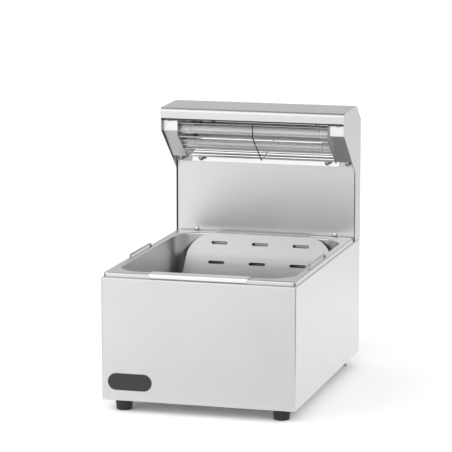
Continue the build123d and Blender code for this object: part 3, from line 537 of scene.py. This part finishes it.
# thin metal bands round the ceramic caps
band = {
    "capLength": 0.036,
    "offsets": (0.0012, 0.0182),
    "proud": 0.0003,
    "width": 0.0011,
    "edge": 0.0002,
    "steps": 48,
    "finish": {**metalFinish, "dark": 0.3, "light": 0.45},
}
bandMetal = plainSurface("bandMetal", band["finish"])


def makeBands(node, name):
    low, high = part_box(node)
    radius = (high[2] - low[2]) / 2
    middleY, middleZ = (low[1] + high[1]) / 2, (low[2] + high[2]) / 2
    outer = radius + band["proud"]
    points, faces = [], []
    for side in (-1, 1):
        for offset in band["offsets"]:
            start = high[0] - band["capLength"] + offset
            profile = [
                (radius, start),
                (outer, start + band["edge"]),
                (outer, start + band["width"] - band["edge"]),
                (radius, start + band["width"]),
            ]
            ringPoints, ringFaces = turned(profile, band["steps"])
            faces += shifted(ringFaces, len(points))
            # the turned y runs out along x, to the left and to the right
            points += [(side * y, middleY + x, middleZ + z) for x, y, z in ringPoints]
    addMesh(name, points, faces, bandMetal, "root", smooth=True)


makeBands("tube_caps_front", "frontCapBands")
makeBands("tube_caps_rear", "rearCapBands")
print("cap bands fitted")

# a dark strip under the lower edge of the hood's lip: painted shade standing for the shadow gap
# there
shadeStrip = {
    "endGap": 0.0014,
    "front": 0.1020,
    "back": 0.1031,
    "top": 0.4476,
    "drop": 0.0026,
    "round": 0.0003,
    "finish": {**plainFinish, "dark": 0.03, "light": 0.06},
}
shadeStripDark = plainSurface("shadeStripDark", shadeStrip["finish"])


def makeShadeStrip():
    low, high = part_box("hood_top_cover")
    front, back, top, soft = shadeStrip["front"], shadeStrip["back"], shadeStrip["top"], shadeStrip["round"]
    bottom = top - shadeStrip["drop"]
    outline = [
        (front, top),
        (back, top),
        (back, bottom + soft),
        (back - soft, bottom),
        (front + soft, bottom),
        (front, bottom + soft),
    ]
    left, right = low[0] + shadeStrip["endGap"], high[0] - shadeStrip["endGap"]
    points = [(x, y, z) for x in (left, right) for y, z in outline]
    count = len(outline)
    faces = [(i, (i + 1) % count, count + (i + 1) % count, count + i) for i in range(count)]
    faces += [tuple(range(count))[::-1], tuple(range(count, 2 * count))]
    addMesh("hoodLipShadeStrip", points, faces, shadeStripDark, "root")


makeShadeStrip()
print("lip trim fitted")

# cross-recess screws at the rear, in place of the plain heads
crossScrew = {
    "tipRadius": 0.0001,
    "shankRadius": 0.002,
    "shankLength": 0.006,
    "headRadius": 0.00375,
    "rimShare": 0.35,  # share of the head's height that stands straight below the dome
    "crownRadius": 0.00005,
    "armHalf": 0.00048,
    "armReach": 0.0024,
    "armFrom": 0.4,  # share of the head's height above which the arms cut in
    "recessDepth": 0.0012,
    "recessRise": 0.4,  # share of the depth that is gone at the arms' ends
    "steps": 48,
    "rings": 14,
}
screwSets = {
    "base_rear_screws": {"name": "bodyRearScrews", "rows": 2, "head": 0.0022},
    "rear_cover_screws": {"name": "coverRearScrews", "rows": 3, "head": 0.0022},
    "inlet_screws": {"name": "inletCrossScrews", "rows": 1, "head": 0.0015},
}


def crossScrewShape(headHeight):
    # the axis is y, from the tip of the shank at 0 to the crown
    seat = crossScrew["shankLength"]
    crown = seat + headHeight
    rim = seat + headHeight * crossScrew["rimShare"]
    radius = crossScrew["headRadius"]
    profile = [
        (crossScrew["tipRadius"], 0.0),
        (crossScrew["shankRadius"], 0.0),
        (crossScrew["shankRadius"], seat),
        (radius, seat),
        (radius, rim),
    ]
    for ring in range(1, crossScrew["rings"] + 1):
        share = ring / crossScrew["rings"]
        across = max(radius * (1 - share), crossScrew["crownRadius"])
        profile.append((across, rim + (crown - rim) * math.sqrt(share)))
    points, faces = turned(profile, crossScrew["steps"])
    armFrom = seat + headHeight * crossScrew["armFrom"]
    shaped = []
    for x, y, z in points:
        reach = math.hypot(x, z) / crossScrew["armReach"]
        inArm = min(abs(x), abs(z)) < crossScrew["armHalf"]
        if y > armFrom and inArm and reach < 1:
            y = crown - crossScrew["recessDepth"] * (1 - crossScrew["recessRise"] * reach)
        shaped.append((x, y, z))
    lastRing = range(len(points) - crossScrew["steps"], len(points))
    faces.append(tuple(lastRing))
    return shaped, faces


def makeScrews(node, plan):
    low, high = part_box(node)
    inset = crossScrew["headRadius"]
    rows = plan["rows"]
    shape, shapeFaces = crossScrewShape(plan["head"])
    points, faces = [], []
    for x in (low[0] + inset, high[0] - inset):
        for row in range(rows):
            share = row / (rows - 1) if rows > 1 else 0.5
            z = (low[2] + inset) * (1 - share) + (high[2] - inset) * share
            faces += shifted(shapeFaces, len(points))
            points += [(x + px, low[1] + py, z + pz) for px, py, pz in shape]
    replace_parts(addMesh(plan["name"], points, faces, screwMetal, "root"), node)


for node, plan in screwSets.items():
    makeScrews(node, plan)
print("rear screws turned")

# I and O on the rocker
marks = {
    "middleX": 0.066,
    "foldZ": 0.065,
    "faceY": 0.2352,
    "slope": 14.0,
    "thickness": 0.00015,
    "barHalf": 0.00045,
    "barLength": 0.0050,
    "barUp": 0.0066,
    "ringDown": 0.0062,
    "ringRadius": 0.0026,
    "ringWidth": 0.0007,
    "steps": 40,
    "finish": {**plainFinish, "dark": 0.75, "light": 0.85, "roughness": 0.4, "bump": 0.05},
}
markPaint = plainSurface("markPaint", marks["finish"])


def makeMarks():
    # the bar lies on the sloping upper half
    tilt = math.radians(marks["slope"])
    half, reach = marks["barHalf"], marks["barLength"] / 2
    points = []
    for lift in (0.0, marks["thickness"]):
        for dx, dz in ((-half, -reach), (half, -reach), (half, reach), (-half, reach)):
            up = marks["barUp"] + dz
            x = marks["middleX"] + dx
            y = marks["faceY"] + up * math.sin(tilt) + lift * math.cos(tilt)
            z = marks["foldZ"] + up * math.cos(tilt) - lift * math.sin(tilt)
            points.append((x, y, z))
    faces = [(0, 1, 2, 3), (7, 6, 5, 4)]
    faces += [(i, i + 4, (i + 1) % 4 + 4, (i + 1) % 4) for i in range(4)]
    # the ring lies on the upright lower half
    inner, outer = marks["ringRadius"] - marks["ringWidth"], marks["ringRadius"]
    low, high = marks["faceY"], marks["faceY"] + marks["thickness"]
    profile = [(inner, low), (inner, high), (outer, high), (outer, low)]
    ringPoints, ringFaces = turned(profile, marks["steps"])
    faces += shifted(ringFaces, len(points))
    middleZ = marks["foldZ"] - marks["ringDown"]
    points += [(marks["middleX"] + x, y, middleZ + z) for x, y, z in ringPoints]
    addMesh("switchMarks", points, faces, markPaint, "rocker")


makeMarks()
print("switch marks laid on")

# white paper floor, pale walls and two black flags
studio = {
    "floorSize": 20.0,
    "floorShade": 0.95,
    "seenShade": 1.50,
    # metal sees the paper darker towards the front right
    "dimShare": 0.24,
    "dimAside": {"axis": "X", "none": -0.48, "full": 0.18},
    "dimForward": {"axis": "Y", "none": -0.10, "full": -0.40},
    # and brighter beside and behind the object
    "mirroredGlow": 0.28,
    "besideGlow": 0.14,
    "besideNear": {"axis": "Y", "none": -0.45, "full": -0.15},
    "besideFar": {"axis": "Y", "none": 1.35, "full": 0.75},
    # the flags stand off to the left and right, and reach onto the paper
    "flagLight": 0.20,
    "flagFrom": 0.80,
    "flagTo": 0.93,
    "flagNear": 0.42,
    "flagFar": 0.75,
    "frontLight": 1.4,
    "rearLight": 0.62,
    "ceilingLight": 0.23,
    "ceilingFrom": 0.70,
    "ceilingTo": 0.97,
}


# share of the flags in a direction given as a unit vector
def flagShare(shader, heading):
    across = shader.axis(heading, "X")
    sideways = shader.node("ShaderNodeMath", {"operation": "ABSOLUTE"}, {0: across})
    return shader.fade(sideways, studio["flagFrom"], studio["flagTo"])


def floorPaper():
    material, shader = newMaterial("floorPaper")
    where = shader.objectPlace()
    seen, glossy = shader.ray("Camera"), shader.ray("Glossy")
    aside = fadeAlong(shader, where, studio["dimAside"])
    dim = aside * fadeAlong(shader, where, studio["dimForward"])
    heading = shader.node("ShaderNodeVectorMath", {"operation": "NORMALIZE"}, {0: where})
    distance = shader.node(
        "ShaderNodeVectorMath", {"operation": "LENGTH"}, {0: where}, out="Value"
    )
    offside = shader.fade(distance, studio["flagNear"], studio["flagFar"])
    flag = offside * flagShare(shader, heading)
    kept = (1 - dim * studio["dimShare"]) * (1 - flag * (1 - studio["flagLight"]))
    mirrored = 1 - glossy * (1 - kept)
    lifted = seen * (studio["seenShade"] - studio["floorShade"])
    shade = (studio["floorShade"] + lifted) * mirrored
    paper = shader.node(
        "ShaderNodeCombineColor", {}, {"Red": shade, "Green": shade, "Blue": shade}
    )
    matt = shader.node("ShaderNodeBsdfDiffuse", {}, {"Color": paper})
    near = fadeAlong(shader, where, studio["besideNear"])
    beside = near * fadeAlong(shader, where, studio["besideFar"])
    level = studio["mirroredGlow"] + beside * studio["besideGlow"]
    strength = (glossy + shader.ray("Transmission")) * mirrored * level
    glow = shader.node("ShaderNodeEmission", {}, {"Color": rgb(1.0), "Strength": strength})
    surface = shader.node("ShaderNodeAddShader", {}, {0: matt, 1: glow})
    shader.node("ShaderNodeOutputMaterial", {}, {"Surface": surface})
    return material


def makeFloor():
    half = studio["floorSize"] / 2
    mesh = bpy.data.meshes.new("floor")
    corners = [(-half, -half, 0), (half, -half, 0), (half, half, 0), (-half, half, 0)]
    mesh.from_pydata(corners, [], [(0, 1, 2, 3)])
    mesh.materials.append(floorPaper())
    floor = bpy.data.objects.new("floor", mesh)
    scene.collection.objects.link(floor)


def makeWorld():
    world = bpy.data.worlds.new("studio")
    scene.world = world
    shader = Shader(world)
    direction = shader.node("ShaderNodeTexCoord", out="Generated")
    # 0 straight in front of the object, 1 straight behind it
    rearShare = shader.axis(direction, "Y") * 0.5 + 0.5
    walls = studio["frontLight"] + rearShare * (studio["rearLight"] - studio["frontLight"])
    up = shader.axis(direction, "Z")
    overhead = shader.fade(up, studio["ceilingFrom"], studio["ceilingTo"])
    flag = flagShare(shader, direction)
    unflagged = walls * (1 - overhead) + overhead * studio["ceilingLight"]
    level = unflagged * (1 - flag) + flag * studio["flagLight"]
    seen = shader.ray("Camera")
    strength = level * (1 - seen) + seen
    light = shader.node("ShaderNodeBackground", {}, {"Color": rgb(1.0), "Strength": strength})
    shader.node("ShaderNodeOutputWorld", {}, {"Surface": light})


lamps = {
    "keySoftbox": {"place": (-2.0, -0.9, 1.7), "aim": (0, 0, 0.22), "size": 2.8, "power": 10},
    "fillSoftbox": {"place": (2.4, -0.6, 1.6), "aim": (0, 0, 0.22), "size": 2.4, "power": 3},
}


def makeLamp(name, lamp):
    data = bpy.data.lights.new(name, "AREA")
    data.shape = "SQUARE"
    data.size = lamp["size"]
    data.energy = lamp["power"]
    light = bpy.data.objects.new(name, data)
    light.location = lamp["place"]
    towards = Vector(lamp["aim"]) - Vector(lamp["place"])
    light.rotation_euler = towards.to_track_quat("-Z", "Y").to_euler()
    scene.collection.objects.link(light)


makeFloor()
makeWorld()
for name, lamp in lamps.items():
    makeLamp(name, lamp)
print("studio ready")
